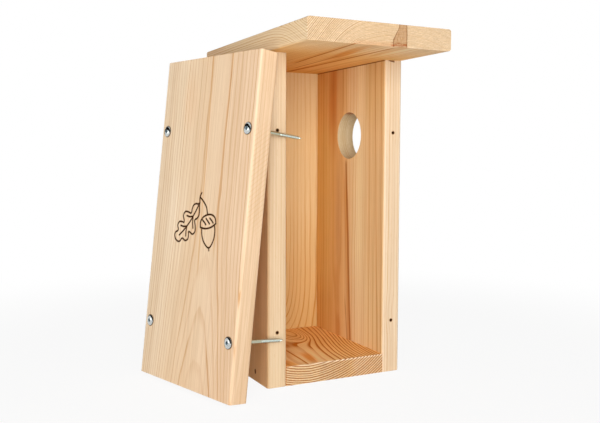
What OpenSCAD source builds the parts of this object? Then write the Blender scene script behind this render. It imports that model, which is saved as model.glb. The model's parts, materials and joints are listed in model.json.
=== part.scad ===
// Wooden squirrel house with its front board taken off and leaning against its side.
// Lengths are in millimetres. The origin is the centre of the box's footprint,
// +Z is up, the open front faces -Y and the entrance is in the right side, at +X.

/* [Boards] */
// Outer width of the box, which is the width of the front, back and roof boards
house_w = 180; // [160:1:240]
// Height of the side boards and the back board
side_h = 384; // [350:1:520]
// Depth of a side board, from its front edge to its back edge
side_d = 175; // [150:1:240]
// Thickness of the sides, back, roof and front board
board_t = 24; // [18:0.5:28]
// Thickness of the floor board
floor_t = 23; // [18:0.5:28]
// Radius of the planed long edges
edge_r = 3; // [1:0.5:5]

/* [Roof] */
// How far the roof runs out past the front edges of the side boards
roof_overhang = 95; // [40:1:140]

/* [Entrance] */
// Diameter of the round entrance through the right side board
entrance_d = 61; // [40:1:80]
// Height of the entrance's centre above the ground
entrance_z = 295; // [220:1:305]
// Distance of the entrance's centre from the side board's front edge
entrance_y = 86; // [60:1:95]

/* [Front board and its screws] */
// Gap between the top of the front board and the roof, once it is screwed on
front_gap = 2; // [1:0.5:6]
// Length of a front screw, from under its head to its point
screw_len = 80; // [70:1:90]
// Outer diameter of the screw's thread
thread_d = 4.5; // [3.5:0.1:6]
// Diameter of the smooth shank under the head
shank_d = 4.3; // [3.2:0.1:4.4]
// Diameter of the core between the threads
core_d = 3.3; // [2.4:0.1:3.4]
// Distance from one thread to the next
thread_pitch = 2; // [1.6:0.1:3]
// Width of a thread's flat crest
crest_w = 0.2; // [0.1:0.05:0.4]
// Length of the smooth shank
shank_len = 45; // [20:1:55]
// Length of the cone at the point
point_len = 7; // [4:0.5:10]
// Diameter of the domed screw head
head_d = 13.5; // [10:0.5:16]
// Height of the flat rim under the dome
head_rim_h = 0.6; // [0.5:0.1:1.5]
// Height of the dome above the rim
dome_h = 1.6; // [1.4:0.1:3]
// Radial clearance between a thread and its hole in the front board
screw_clearance = 0.05; // [0.02:0.01:0.1]
// Height of the lower pair of screws above the bottom of the front board
screw_low_z = 64.5; // [50:0.5:90]
// Height of the upper pair of screws above the bottom of the front board
screw_high_z = 296.5; // [260:0.5:310]
// Diameter of the pilot holes in the side boards' front edges
pilot_d = 3; // [2:0.1:3.2]
// Depth of the pilot holes, which a tightened screw's point passes and bites into solid wood
pilot_depth = 50; // [40:1:54]

/* [Screw drive] */
// Distance of the six lobes' centres from the screw's axis
lobe_ring_r = 1.9; // [1.4:0.1:2.2]
// Radius of each lobe
lobe_r = 0.7; // [0.5:0.1:0.9]
// Depth of the drive, from the top of the dome
drive_depth = 1.5; // [1.2:0.1:1.7]

/* [Nails] */
// Diameter of a nail's shank
nail_d = 2.2; // [1.8:0.1:3]
// Length of a nail, head and point included
nail_len = 50; // [45:1:55]
// Diameter of a nail's head
nail_head_d = 3.2; // [3.1:0.1:4]
// Thickness of a nail's head
nail_head_h = 1; // [0.6:0.1:1.5]
// Length of a nail's point
nail_point_len = 4; // [2:0.5:6]
// Diameter of the nail's blunt tip
nail_tip_d = 0.4; // [0.2:0.1:1]
// How deep a nail's head is set below the surface
nail_set = 1.5; // [0.5:0.1:3]
// Radial clearance between a nail and the wood
nail_clearance = 0.02; // [0.01:0.01:0.05]
// Distance of the outer nails from the front and back edges of a side board
nail_edge_y = 36; // [28:1:50]
// Distance of the outer back nails from the ends of the back board
nail_end_z = 60; // [50:1:90]
// Half the distance between the two nails that hold the back board to the floor or the roof
nail_half_x = 38; // [25:1:45]

/* [Lean of the front board] */
// Turn of the front board from facing forward to facing left, in degrees
lean_yaw = 74; // [70:0.5:80]
// Tilt of the front board from upright, in degrees
lean_tilt = 6.8; // [5:0.1:8]
// Gap between the upper left screw's point and the left side board
touch_gap = 0.4; // [0.3:0.1:1]
// Least gap between the front board's back and the corner that it leans towards
corner_gap = 0.5; // [0.3:0.1:2]
// Gap between the upper right screw's shank and the left side board's front edge
pass_gap = 3.4; // [1:0.1:5]

/* [Hidden] */
$fn = 64;

// Amount by which a cut runs past the face that it opens
cut = 1;

// Faces of the box
half_w = house_w / 2;
box_d = side_d + board_t;
front_y = -box_d / 2;
back_y = box_d / 2;
side_back_y = back_y - board_t;
inner_w = house_w - 2 * board_t;
side_mid_x = half_w - board_t / 2;
roof_z = side_h + board_t;

// The front board and where its screws pass through it
front_h = side_h - front_gap;
screw_edge_x = board_t / 2;
screw_reach = screw_len - board_t;
thread_count = floor((screw_len - shank_len - point_len) / thread_pitch);

// The leaning front board stands on the right end of its back lower edge, its standing point.
// A place on the board is given from that point, along the board's width, depth and height.
function turned_x(x, y, z) = x * cos(lean_yaw) + (y * cos(lean_tilt) + z * sin(lean_tilt)) * sin(lean_yaw);
function turned_y(x, y, z) = -x * sin(lean_yaw) + (y * cos(lean_tilt) + z * sin(lean_tilt)) * cos(lean_yaw);

// Where the standing point lies along Y, so that the upper right screw passes in front of the
// left side board: the screw starts at the board's back and runs to the side's inner face
function stand_y_at(x) =
    let (screw_x = x + turned_x(-screw_edge_x, 0, screw_high_z),
         run_y = (-inner_w / 2 - screw_x) / tan(lean_yaw))
    front_y - pass_gap - thread_d / 2 / sin(lean_yaw) - run_y - turned_y(-screw_edge_x, 0, screw_high_z);

// Where it lies along X: the upper left screw's point comes up to the left side board,
// or the front board's upper end comes up to the box's corner, whichever is first
touch_x = -half_w - touch_gap - turned_x(screw_edge_x - house_w, screw_reach, screw_high_z);
corner_x = -half_w - (corner_gap / cos(lean_tilt) + front_h * sin(lean_tilt)
    - (front_y - stand_y_at(touch_x)) * cos(lean_yaw)) / sin(lean_yaw);
stand_x = min(touch_x, corner_x);
stand_y = stand_y_at(stand_x);

// Rows of nails
nail_ys = [front_y + nail_edge_y, side_back_y - nail_edge_y];
back_nail_zs = [nail_end_z, side_h / 2, side_h - nail_end_z];
back_mid_y = back_y - board_t / 2;

// A board with its length along Z and its four long edges rounded
module planed_board(width, thick, length, r = edge_r) {
    linear_extrude(length) {
        translate([r, 0]) square([width - 2 * r, thick]);
        translate([0, r]) square([width, thick - 2 * r]);
        for (x = [r, width - r], y = [r, thick - r])
            translate([x, y]) circle(r);
    }
}

// A nail along +Z, driven from the face at z = 0; grow widens and lengthens it to cut its hole
module nail(grow = 0) {
    head_top = nail_set - (grow > 0 ? nail_set + cut : 0);
    tip_z = nail_set + nail_len + grow;
    point_z = tip_z - nail_point_len;
    translate([0, 0, head_top])
        cylinder(d = nail_head_d + 2 * grow, h = nail_set + nail_head_h + grow - head_top);
    translate([0, 0, nail_set])
        cylinder(d = nail_d + 2 * grow, h = point_z - nail_set);
    translate([0, 0, point_z])
        cylinder(r1 = nail_d / 2 + grow, r2 = nail_tip_d / 2 + grow, h = nail_point_len);
}

// The nails of each joint between two boards
module floor_nails(side, grow = 0) {
    for (y = nail_ys)
        translate([side * half_w, y, floor_t / 2]) rotate([0, -side * 90, 0]) nail(grow);
}

module back_nails(side, grow = 0) {
    for (z = back_nail_zs)
        translate([side * side_mid_x, back_y, z]) rotate([90, 0, 0]) nail(grow);
}

module back_floor_nails(grow = 0) {
    for (x = [-nail_half_x, nail_half_x])
        translate([x, back_y, floor_t / 2]) rotate([90, 0, 0]) nail(grow);
}

module roof_nails(side, grow = 0) {
    for (y = nail_ys)
        translate([side * side_mid_x, y, roof_z]) rotate([180, 0, 0]) nail(grow);
}

module roof_back_nails(grow = 0) {
    for (x = [-nail_half_x, nail_half_x])
        translate([x, back_mid_y, roof_z]) rotate([180, 0, 0]) nail(grow);
}

// Pilot holes in the front edge of one side board
module pilot_holes(side) {
    for (z = [screw_low_z, screw_high_z])
        translate([side * side_mid_x, front_y - cut, z])
            rotate([-90, 0, 0]) cylinder(d = pilot_d, h = pilot_depth + cut);
}

// A side board, standing with its outer face at side * half_w
module side_board(side) {
    difference() {
        translate([side * side_mid_x - board_t / 2, front_y, 0])
            planed_board(board_t, side_d, side_h);
        pilot_holes(side);
        floor_nails(side, nail_clearance);
        back_nails(side, nail_clearance);
        roof_nails(side, nail_clearance);
    }
}

module left_side_board() {
    color("burlywood") side_board(-1);
}

module right_side_board() {
    color("burlywood") difference() {
        side_board(1);
        translate([side_mid_x - board_t / 2 - cut, front_y + entrance_y, entrance_z])
            rotate([0, 90, 0]) cylinder(d = entrance_d, h = board_t + 2 * cut);
    }
}

module back_board() {
    color("sandybrown") difference() {
        translate([-half_w, side_back_y, 0])
            planed_board(house_w, board_t, side_h);
        back_nails(-1, nail_clearance);
        back_nails(1, nail_clearance);
        back_floor_nails(nail_clearance);
        roof_back_nails(nail_clearance);
    }
}

module floor_board() {
    color("peru") difference() {
        translate([-inner_w / 2, front_y, 0])
            cube([inner_w, side_d, floor_t]);
        floor_nails(-1, nail_clearance);
        floor_nails(1, nail_clearance);
        back_floor_nails(nail_clearance);
    }
}

module roof_board() {
    color("wheat") difference() {
        translate([-half_w, back_y, side_h]) rotate([90, 0, 0])
            planed_board(house_w, board_t, box_d + roof_overhang);
        roof_nails(-1, nail_clearance);
        roof_nails(1, nail_clearance);
        roof_back_nails(nail_clearance);
    }
}

// Puts the front board's own frame in its leaning place. In that frame X runs along its width,
// its front face is at y = 0 and its lower end at z = 0.
module leaning() {
    translate([stand_x, stand_y, 0]) rotate([0, 0, -lean_yaw]) rotate([-lean_tilt, 0, 0])
        translate([-house_w, -board_t, 0]) children();
}

module front_board() {
    color("navajowhite") leaning() difference() {
        planed_board(house_w, board_t, front_h);
        for (x = [screw_edge_x, house_w - screw_edge_x], z = [screw_low_z, screw_high_z])
            translate([x, -cut, z]) rotate([-90, 0, 0])
                cylinder(d = thread_d + 2 * screw_clearance, h = board_t + 2 * cut);
    }
}

// The six-lobed drive in the screw's head
module drive(depth) {
    linear_extrude(depth) {
        circle(lobe_ring_r);
        for (a = [0:60:300])
            rotate(a) translate([lobe_ring_r, 0]) circle(lobe_r);
    }
}

// Outline of one thread, from the core up to its crest, the first one next to the shank
function tooth(i) =
    let (root_z = shank_len + i * thread_pitch,
         crest_z = root_z + (thread_pitch - crest_w) / 2)
    [[core_d / 2, root_z], [thread_d / 2, crest_z], [thread_d / 2, crest_z + crest_w]];

module threaded_shank() {
    rotate_extrude() polygon(concat(
        [[0, 0], [shank_d / 2, 0], [shank_d / 2, shank_len]],
        [for (i = [0:thread_count - 1], p = tooth(i)) p],
        [[core_d / 2, screw_len - point_len], [0, screw_len]]
    ));
}

// A front screw, with its head's underside at z = 0 and its point along +Z
module front_screw() {
    dome_r = (pow(head_d / 2, 2) + pow(dome_h, 2)) / (2 * dome_h);
    threaded_shank();
    difference() {
        union() {
            translate([0, 0, -head_rim_h]) cylinder(d = head_d, h = head_rim_h);
            intersection() {
                translate([0, 0, -head_rim_h - dome_h + dome_r]) sphere(dome_r);
                translate([0, 0, -head_rim_h - dome_h]) cylinder(d = head_d, h = dome_h);
            }
        }
        translate([0, 0, -head_rim_h - dome_h - cut]) drive(drive_depth + cut);
    }
}

module seated_screw(x, z) {
    color("silver") leaning() translate([x, 0, z]) rotate([-90, 0, 0]) front_screw();
}

module front_screw_upper_left() { seated_screw(screw_edge_x, screw_high_z); }
module front_screw_upper_right() { seated_screw(house_w - screw_edge_x, screw_high_z); }
module front_screw_lower_left() { seated_screw(screw_edge_x, screw_low_z); }
module front_screw_lower_right() { seated_screw(house_w - screw_edge_x, screw_low_z); }

module floor_nails_left() { color("dimgray") floor_nails(-1); }
module floor_nails_right() { color("dimgray") floor_nails(1); }
module back_nails_left() { color("dimgray") back_nails(-1); }
module back_nails_right() { color("dimgray") back_nails(1); }
module back_nails_floor() { color("dimgray") back_floor_nails(); }
module roof_nails_left() { color("dimgray") roof_nails(-1); }
module roof_nails_right() { color("dimgray") roof_nails(1); }
module roof_nails_back() { color("dimgray") roof_back_nails(); }

roof_board();
left_side_board();
right_side_board();
back_board();
floor_board();
front_board();
front_screw_upper_left();
front_screw_upper_right();
front_screw_lower_left();
front_screw_lower_right();
floor_nails_left();
floor_nails_right();
back_nails_left();
back_nails_right();
back_nails_floor();
roof_nails_left();
roof_nails_right();
roof_nails_back();
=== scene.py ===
import json
import math

import bmesh
import bpy
from mathutils import Matrix, Vector
from mathutils.kdtree import KDTree


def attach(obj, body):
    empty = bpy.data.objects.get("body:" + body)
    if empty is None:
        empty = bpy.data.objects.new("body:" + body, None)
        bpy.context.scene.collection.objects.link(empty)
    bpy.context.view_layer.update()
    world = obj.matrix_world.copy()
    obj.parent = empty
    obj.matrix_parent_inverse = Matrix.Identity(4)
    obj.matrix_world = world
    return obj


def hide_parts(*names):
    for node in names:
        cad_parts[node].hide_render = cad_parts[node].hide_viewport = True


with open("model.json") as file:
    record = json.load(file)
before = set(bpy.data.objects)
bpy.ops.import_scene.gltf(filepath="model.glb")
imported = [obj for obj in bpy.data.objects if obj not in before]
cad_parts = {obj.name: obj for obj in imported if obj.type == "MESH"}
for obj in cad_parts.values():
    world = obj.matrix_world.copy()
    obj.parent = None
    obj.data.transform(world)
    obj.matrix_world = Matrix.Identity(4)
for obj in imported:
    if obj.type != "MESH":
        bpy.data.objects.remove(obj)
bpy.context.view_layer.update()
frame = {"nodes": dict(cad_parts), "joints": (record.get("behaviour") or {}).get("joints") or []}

MM = 0.001

# The photograph's view: the camera's place in the frame, its turn and its focal length
IMAGE_W = 600
FOCAL_PX = 755.609
SENSOR_MM = 36.0
CAMERA_AT = Vector((-0.442494, -0.877416, 0.265395))
CAMERA_YAW = math.radians(26.823)
CAMERA_PITCH = math.radians(4.049)
CAMERA_ROLL = math.radians(-0.181)

# Boards: their eased cut edges, their planed arrises, how far an end's tone reaches, and their gloss.
# A mesh's edge is shaded sharp over SHARP_ANGLE
CUT_EASE = 0.4 * MM
CUT_ANGLE = math.radians(60)
ARRIS_R = 3 * MM
END_BAND = 0.5 * MM
SHARP_ANGLE = math.radians(40)
WOOD_GLOSS = 0.04

# How growth rings run where a board doesn't say otherwise
RING_FORM = {"bend": (0, 0, 0), "bend_from": 0.0, "bend_to": 0.4, "outer_radius": 1.0, "outer_width": 1 * MM,
             "sway": 4 * MM, "sway_length": 0.3, "unevenness": 0.7, "early_share": 0.5}

# Slanting planer marks on the front board's edge
HATCH_STEP = 5.5 * MM
HATCH_SLOPE = 0.8

# The burned motif: its field on the front board, where the field's cells are made finer, and its lines
MOTIF_X = 88 * MM
MOTIF_Z = 190 * MM
MOTIF_HALF_W = 48 * MM
MOTIF_HALF_H = 42 * MM
MOTIF_CELL = 1 * MM
FINE_REACHES = (2.4 * MM, 1.5 * MM)
FACE_SLACK = 0.01 * MM
LINE_GAP = 0.15 * MM
LINE_R = 1.15 * MM
LINE_DEPTH = 0.35 * MM
SCORCH_R = 2.4 * MM

# One half of the leaf's edge and its veins, as shares of its length and half width
LEAF_EDGE = ((0.0, 0.0), (0.05, 0.10), (0.10, 0.34), (0.17, 0.50), (0.25, 0.46), (0.29, 0.36),
             (0.33, 0.38), (0.37, 0.66), (0.44, 0.95), (0.53, 0.90), (0.57, 0.56), (0.60, 0.46),
             (0.63, 0.62), (0.70, 0.84), (0.78, 0.74), (0.81, 0.46), (0.85, 0.38), (0.91, 0.44),
             (0.97, 0.30), (1.0, 0.0))
LEAF_VEINS = ((0.31, 0.45, 0.60), (0.57, 0.71, 0.50))
MIDRIB_END = 0.86
LEAF_BOW = 0.25

# The acorn's cup, its rim, its nut and the nut's point, as shares of its cup's half width
CUP_TOP = ((-0.60, -0.50), (-0.56, -0.24), (-0.34, -0.06), (0, 0), (0.34, -0.06), (0.56, -0.24),
           (0.60, -0.50))
CUP_RIM = ((-0.60, -0.50), (-0.30, -0.60), (0, -0.63), (0.30, -0.60), (0.60, -0.50))
NUT = ((-0.49, -0.56), (-0.50, -0.85), (-0.40, -1.18), (-0.18, -1.45), (0, -1.54), (0.18, -1.45),
       (0.40, -1.18), (0.50, -0.85), (0.49, -0.56))
NUT_POINT = ((0, -1.54), (0, -1.66))
CUP_SCALES = (-0.28, 0.0, 0.28)

# Pilot holes in the sides' front edges
PILOT_R = 1.5 * MM
PILOT_DEPTH = 50 * MM

# The floor's nails in a side's outer face: their distance from its front and back edges, their height, and
# the reach of the painted shade in the dark hole round them
NAIL_INSET = 36 * MM
NAIL_HEIGHT = 11.5 * MM
NAIL_HOLE_SHADE = (2.6 * MM, 3.4 * MM)

# The entrance's centre in the right side board's own space
ENTRANCE_X = 89 * MM
ENTRANCE_Z = 295 * MM
ENTRANCE_R = 30.5 * MM

# Front screws, and their places on the front board. Their heights are the pilot holes' too
SCREW_ACROSS = (12 * MM, 168 * MM)
SCREW_HEIGHTS = (64.5 * MM, 296.5 * MM)
HEAD_R = 6.75 * MM
RIM_H = 0.6 * MM
DOME_H = 1.6 * MM
SHANK_R = 2.15 * MM
THREAD_R = 2.25 * MM
CORE_R = 1.65 * MM
PITCH = 2 * MM
SHANK_LEN = 45 * MM
SCREW_LEN = 80 * MM
POINT_LEN = 7 * MM
DRIVE_R = 2.25 * MM
DRIVE_LOBE = 0.38 * MM
DRIVE_DEPTH = 1.5 * MM
CUTTER_H = 6 * MM

# Steps of the screws' round forms: round the head and shank, up the dome, round one turn of thread, and
# round the drive
TURNED_STEPS = 48
DOME_STEPS = 12
THREAD_STEPS = 20
DRIVE_STEPS = 72

# The white floor: its half width, how far it lies under the ground, its colour, and where and how it glows
STUDIO_HALF = 6.0
STUDIO_DROP = 0.2 * MM
STUDIO_WHITE = (0.91, 0.91, 0.91, 1.0)
STUDIO_FADE = (0.35, 0.9)
STUDIO_GLOW = (0.90, 1.0)

# The soft light in front, and the light of the white room
LIGHT_AT = Vector((-0.68, -1.43, 0.26))
LIGHT_AIM = Vector((0, 0, 0.2))
LIGHT_SIZE = 1.2
LIGHT_POWER = 31
ROOM_LIGHT = 0.32

# What metal mirrors of the white room, in degrees: a dark ring-shaped gap, and a brighter part in it
GAP_CENTRE = (147, -25)
GAP_RADIUS = 52
GAP_HALF = 8
GAP_BLUR = 2
BRIGHT_CENTRE = (162, 3)
BRIGHT_REACH = 16
BRIGHT_CORE = 9.6
BRIGHT_LIGHT = 2.2


def linear(red, green, blue):
    """A colour given as 0 to 255 on a screen, in the values that shaders take."""
    parts = [c / 255 for c in (red, green, blue)]
    return (*[c / 12.92 if c <= 0.04045 else ((c + 0.055) / 1.055) ** 2.4 for c in parts], 1.0)


def add_object(name, data):
    """A new object in the scene."""
    made = bpy.data.objects.new(name, data)
    bpy.context.scene.collection.objects.link(made)
    return made


def add_mesh(name, bm):
    """A new mesh from a bmesh, which is freed."""
    mesh = bpy.data.meshes.new(name)
    bm.to_mesh(mesh)
    bm.free()
    return mesh


class Graph:
    """Adds nodes to one node tree and joins them."""

    def __init__(self, tree):
        self.tree = tree

    def node(self, kind, **settings):
        made = self.tree.nodes.new("ShaderNode" + kind)
        for name, value in settings.items():
            setattr(made, name, value)
        return made

    def put(self, socket, value):
        if isinstance(value, bpy.types.NodeSocket):
            self.tree.links.new(value, socket)
        elif value is not None:
            socket.default_value = value

    def put_all(self, made, **values):
        for name, value in values.items():
            self.put(made.inputs[name.replace("_", " ").title()], value)

    def math(self, operation, *values, clamp=False):
        made = self.node("Math", operation=operation, use_clamp=clamp)
        for socket, value in zip(made.inputs, values):
            self.put(socket, value)
        return made.outputs[0]

    def plus(self, first, second):
        return self.math("ADD", first, second)

    def minus(self, first, second):
        return self.math("SUBTRACT", first, second)

    def times(self, first, second):
        return self.math("MULTIPLY", first, second)

    def over(self, first, second):
        return self.math("DIVIDE", first, second)

    def both(self, *masks):
        """Where all masks are."""
        joined = masks[0]
        for mask in masks[1:]:
            joined = self.times(joined, mask)
        return joined

    def either(self, *masks):
        """Where any mask is."""
        joined = masks[0]
        for mask in masks[1:]:
            joined = self.math("MAXIMUM", joined, mask)
        return joined

    def vector(self, operation, *values):
        made = self.node("VectorMath", operation=operation)
        sockets = [s for s in made.inputs if s.enabled]
        for socket, value in zip(sockets, values):
            self.put(socket, value)
        return next(s for s in made.outputs if s.enabled)

    def scaled(self, vector, factor):
        made = self.node("VectorMath", operation="SCALE")
        self.put(made.inputs[0], vector)
        self.put(made.inputs["Scale"], factor)
        return made.outputs[0]

    def split(self, vector):
        made = self.node("SeparateXYZ")
        self.put(made.inputs[0], vector)
        return made.outputs

    def join(self, x=0.0, y=0.0, z=0.0):
        made = self.node("CombineXYZ")
        for socket, value in zip(made.inputs, (x, y, z)):
            self.put(socket, value)
        return made.outputs[0]

    def attribute(self, name):
        return self.node("Attribute", attribute_name=name, attribute_type="GEOMETRY").outputs["Fac"]

    def noise(self, place, stretch, seed=None, detail=2.0, roughness=0.5):
        """Noise at a place that is stretched along each axis and then moved by a seed."""
        place = self.vector("MULTIPLY", place, stretch)
        if seed is not None:
            place = self.vector("ADD", place, seed)
        made = self.node("TexNoise", noise_dimensions="3D")
        self.put_all(made, vector=place, scale=1.0, detail=detail, roughness=roughness)
        return made.outputs

    def line_noise(self, along, detail=1.0):
        made = self.node("TexNoise", noise_dimensions="1D")
        self.put_all(made, w=along, scale=1.0, detail=detail)
        return made.outputs[0]

    def smooth(self, value, low, high, start=0.0, end=1.0, kind="SMOOTHSTEP"):
        """Goes from start to end while the value goes from low to high."""
        made = self.node("MapRange", interpolation_type=kind)
        self.put_all(made, value=value, from_min=low, from_max=high, to_min=start, to_max=end)
        return made.outputs[0]

    def below(self, value, limit, blur):
        """1 under a limit and 0 over it, with a soft edge."""
        return self.smooth(value, limit - blur, limit + blur, 1.0, 0.0)

    def blend(self, factor, first, second, mode="MIX"):
        made = self.node("Mix", data_type="RGBA", blend_type=mode, clamp_factor=True)
        self.put(made.inputs[0], factor)
        self.put(made.inputs[6], first)
        self.put(made.inputs[7], second)
        return made.outputs[2]

    def ramp(self, factor, stops):
        """A colour for each place of a factor. A stop is a place, and red, green and blue from 0 to 255."""
        made = self.node("ValToRGB")
        self.put(made.inputs[0], factor)
        line = made.color_ramp.elements
        while len(line) < len(stops):
            line.new(0.5)
        for element, (place, *colour) in zip(line, stops):
            element.position = place
            element.color = linear(*colour)
        return made.outputs[0]

    def use(self, group, **inputs):
        made = self.node("Group")
        made.node_tree = group
        self.put_all(made, **inputs)
        return made.outputs


class Surface(Graph):
    """A new material's node tree, with the colour that is built up in it and its shader."""

    def __init__(self, name):
        self.material = bpy.data.materials.new(name)
        self.material.use_nodes = True
        super().__init__(self.material.node_tree)
        self.shader = self.tree.nodes["Principled BSDF"]
        self.colour = None

    def cover(self, mask, *colour):
        """Lays a colour, given as 0 to 255, over the one below where the mask is."""
        self.colour = self.blend(mask, self.colour, linear(*colour))

    def paint(self, mask, factor, share=1.0):
        """Multiplies the colour where the mask is."""
        painted = self.blend(1.0, self.colour, (*factor, 1.0), "MULTIPLY")
        self.colour = self.blend(self.times(mask, share), self.colour, painted)

    def complete(self, roughness, metallic, height, strength, distance):
        """Joins the colour, the gloss and a fine bump to the shader."""
        bump = self.node("Bump")
        self.put_all(bump, height=height, strength=strength, distance=distance)
        self.put_all(self.shader, base_color=self.colour, roughness=roughness, metallic=metallic,
                     normal=bump.outputs[0])
        return self.material


def new_group(name, vectors, values, results):
    """An empty node group with named sockets: its graph, its input values and its output sockets."""
    tree = bpy.data.node_groups.new(name, "ShaderNodeTree")
    for labels, way, kind in ((vectors, "INPUT", "Vector"), (values, "INPUT", "Float"),
                              (results, "OUTPUT", "Float")):
        for label in labels:
            tree.interface.new_socket(label, in_out=way, socket_type="NodeSocket" + kind)
    given = tree.nodes.new("NodeGroupInput").outputs
    asked = tree.nodes.new("NodeGroupOutput").inputs
    return Graph(tree), given, asked


def growth_rings_group():
    """Growth rings round a bent pith: their dark late wood, each ring's own tone, and slow bands."""
    g, given, asked = new_group(
        "growth_rings", ("Position", "Pith", "Bend", "Seed"),
        ("Bend From", "Bend To", "Ring Width", "Outer Radius", "Outer Width", "Sway", "Sway Length",
         "Unevenness", "Swelling", "Early Share"), ("Late", "Tone", "Band"))
    place = given["Position"]
    seed = given["Seed"]
    width = given["Ring Width"]
    stretch = g.join(12.0, 12.0, g.over(1.0, given["Sway Length"]))
    slow = g.noise(place, stretch, seed, detail=1.5)[1]
    fast = g.noise(place, (60.0, 60.0, 14.0), seed)[1]
    sway = g.scaled(g.vector("SUBTRACT", slow, (0.5, 0.5, 0.5)), given["Sway"])
    ripple = g.scaled(g.vector("SUBTRACT", fast, (0.5, 0.5, 0.5)), g.times(width, 0.5))
    bent = g.smooth(g.split(place)[2], given["Bend From"], given["Bend To"])
    pith = g.vector("ADD", given["Pith"], g.scaled(given["Bend"], bent))
    arm = g.vector("SUBTRACT", g.vector("ADD", place, g.vector("ADD", sway, ripple)), pith)
    radius = g.plus(g.vector("LENGTH", g.vector("MULTIPLY", arm, (1.0, 1.0, 0.0))), given["Swelling"])
    outer = g.math("MAXIMUM", g.minus(radius, given["Outer Radius"]), 0.0)
    count = g.plus(g.over(g.minus(radius, outer), width), g.over(outer, given["Outer Width"]))
    uneven = g.minus(g.line_noise(g.times(count, 0.37)), 0.5)
    count = g.plus(count, g.times(uneven, given["Unevenness"]))
    part = g.math("FRACT", count)
    rise = g.smooth(part, given["Early Share"], 0.9)
    fall = g.smooth(part, 0.93, 1.0, 1.0, 0.0)
    tone = g.node("TexWhiteNoise", noise_dimensions="1D")
    g.put(tone.inputs["W"], g.plus(g.math("FLOOR", count), g.split(seed)[0]))
    g.put(asked["Late"], g.times(rise, fall))
    g.put(asked["Tone"], tone.outputs["Value"])
    g.put(asked["Band"], g.line_noise(g.times(count, 0.19), 2.0))
    return g.tree


def fibres_group():
    """Streaks, hair-fine fibres and short dark flecks along the grain."""
    g, given, asked = new_group("fibres", ("Position", "Seed"), (), ("Streak", "Hair", "Fleck"))
    place = g.vector("ADD", given["Position"], given["Seed"])
    fleck = g.noise(place, (900.0, 900.0, 110.0), detail=1.0)[0]
    g.put(asked["Streak"], g.noise(place, (520.0, 520.0, 8.0), detail=3.0, roughness=0.65)[0])
    g.put(asked["Hair"], g.noise(place, (2200.0, 2200.0, 60.0))[0])
    g.put(asked["Fleck"], g.smooth(fleck, 0.68, 0.78))
    return g.tree


def board_edges_group():
    """Masks for a board's two cut ends and its planed arrises, and the saw's marks on its ends."""
    g, given, asked = new_group("board_edges", ("Position", "Size"), (), ("End", "Arris", "Saw"))
    half = g.scaled(given["Size"], 0.5)
    inner = g.vector("SUBTRACT", half, g.vector("ABSOLUTE", g.vector("SUBTRACT", given["Position"], half)))
    from_side, from_face, from_end = g.split(inner)[:3]
    near_side = g.math("SUBTRACT", 1.0, g.over(from_side, ARRIS_R), clamp=True)
    near_face = g.math("SUBTRACT", 1.0, g.over(from_face, ARRIS_R), clamp=True)
    g.put(asked["End"], g.smooth(from_end, 0.1 * MM, END_BAND, 1.0, 0.0))
    g.put(asked["Arris"], g.math("MULTIPLY", g.times(near_side, near_face), 2.0, clamp=True))
    g.put(asked["Saw"], g.noise(given["Position"], (90.0, 1500.0, 0.0))[0])
    return g.tree


GROWTH_RINGS = growth_rings_group()
FIBRES = fibres_group()
BOARD_EDGES = board_edges_group()


class Board:
    """A board's own space: X across its width, Y through its thickness and Z along its grain."""

    def __init__(self, node, across, through):
        x = Vector(across).normalized()
        y = Vector(through).normalized()
        z = x.cross(y)
        points = [v.co for v in frame["nodes"][node].data.vertices]
        low = Vector([min(p.dot(a) for p in points) for a in (x, y, z)])
        high = Vector([max(p.dot(a) for p in points) for a in (x, y, z)])
        self.size = high - low
        self.turn = Matrix((x, y, z)).transposed()
        self.origin = self.turn @ low
        self.matrix = Matrix.Translation(self.origin) @ self.turn.to_4x4()

    def position(self, graph):
        """The shader's place on the board, in the board's own space."""
        mapping = graph.node("Mapping", vector_type="TEXTURE")
        graph.put_all(mapping, vector=graph.node("TexCoord").outputs["Object"], location=self.origin,
                      rotation=self.turn.to_euler("XYZ"))
        return mapping.outputs[0]


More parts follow.
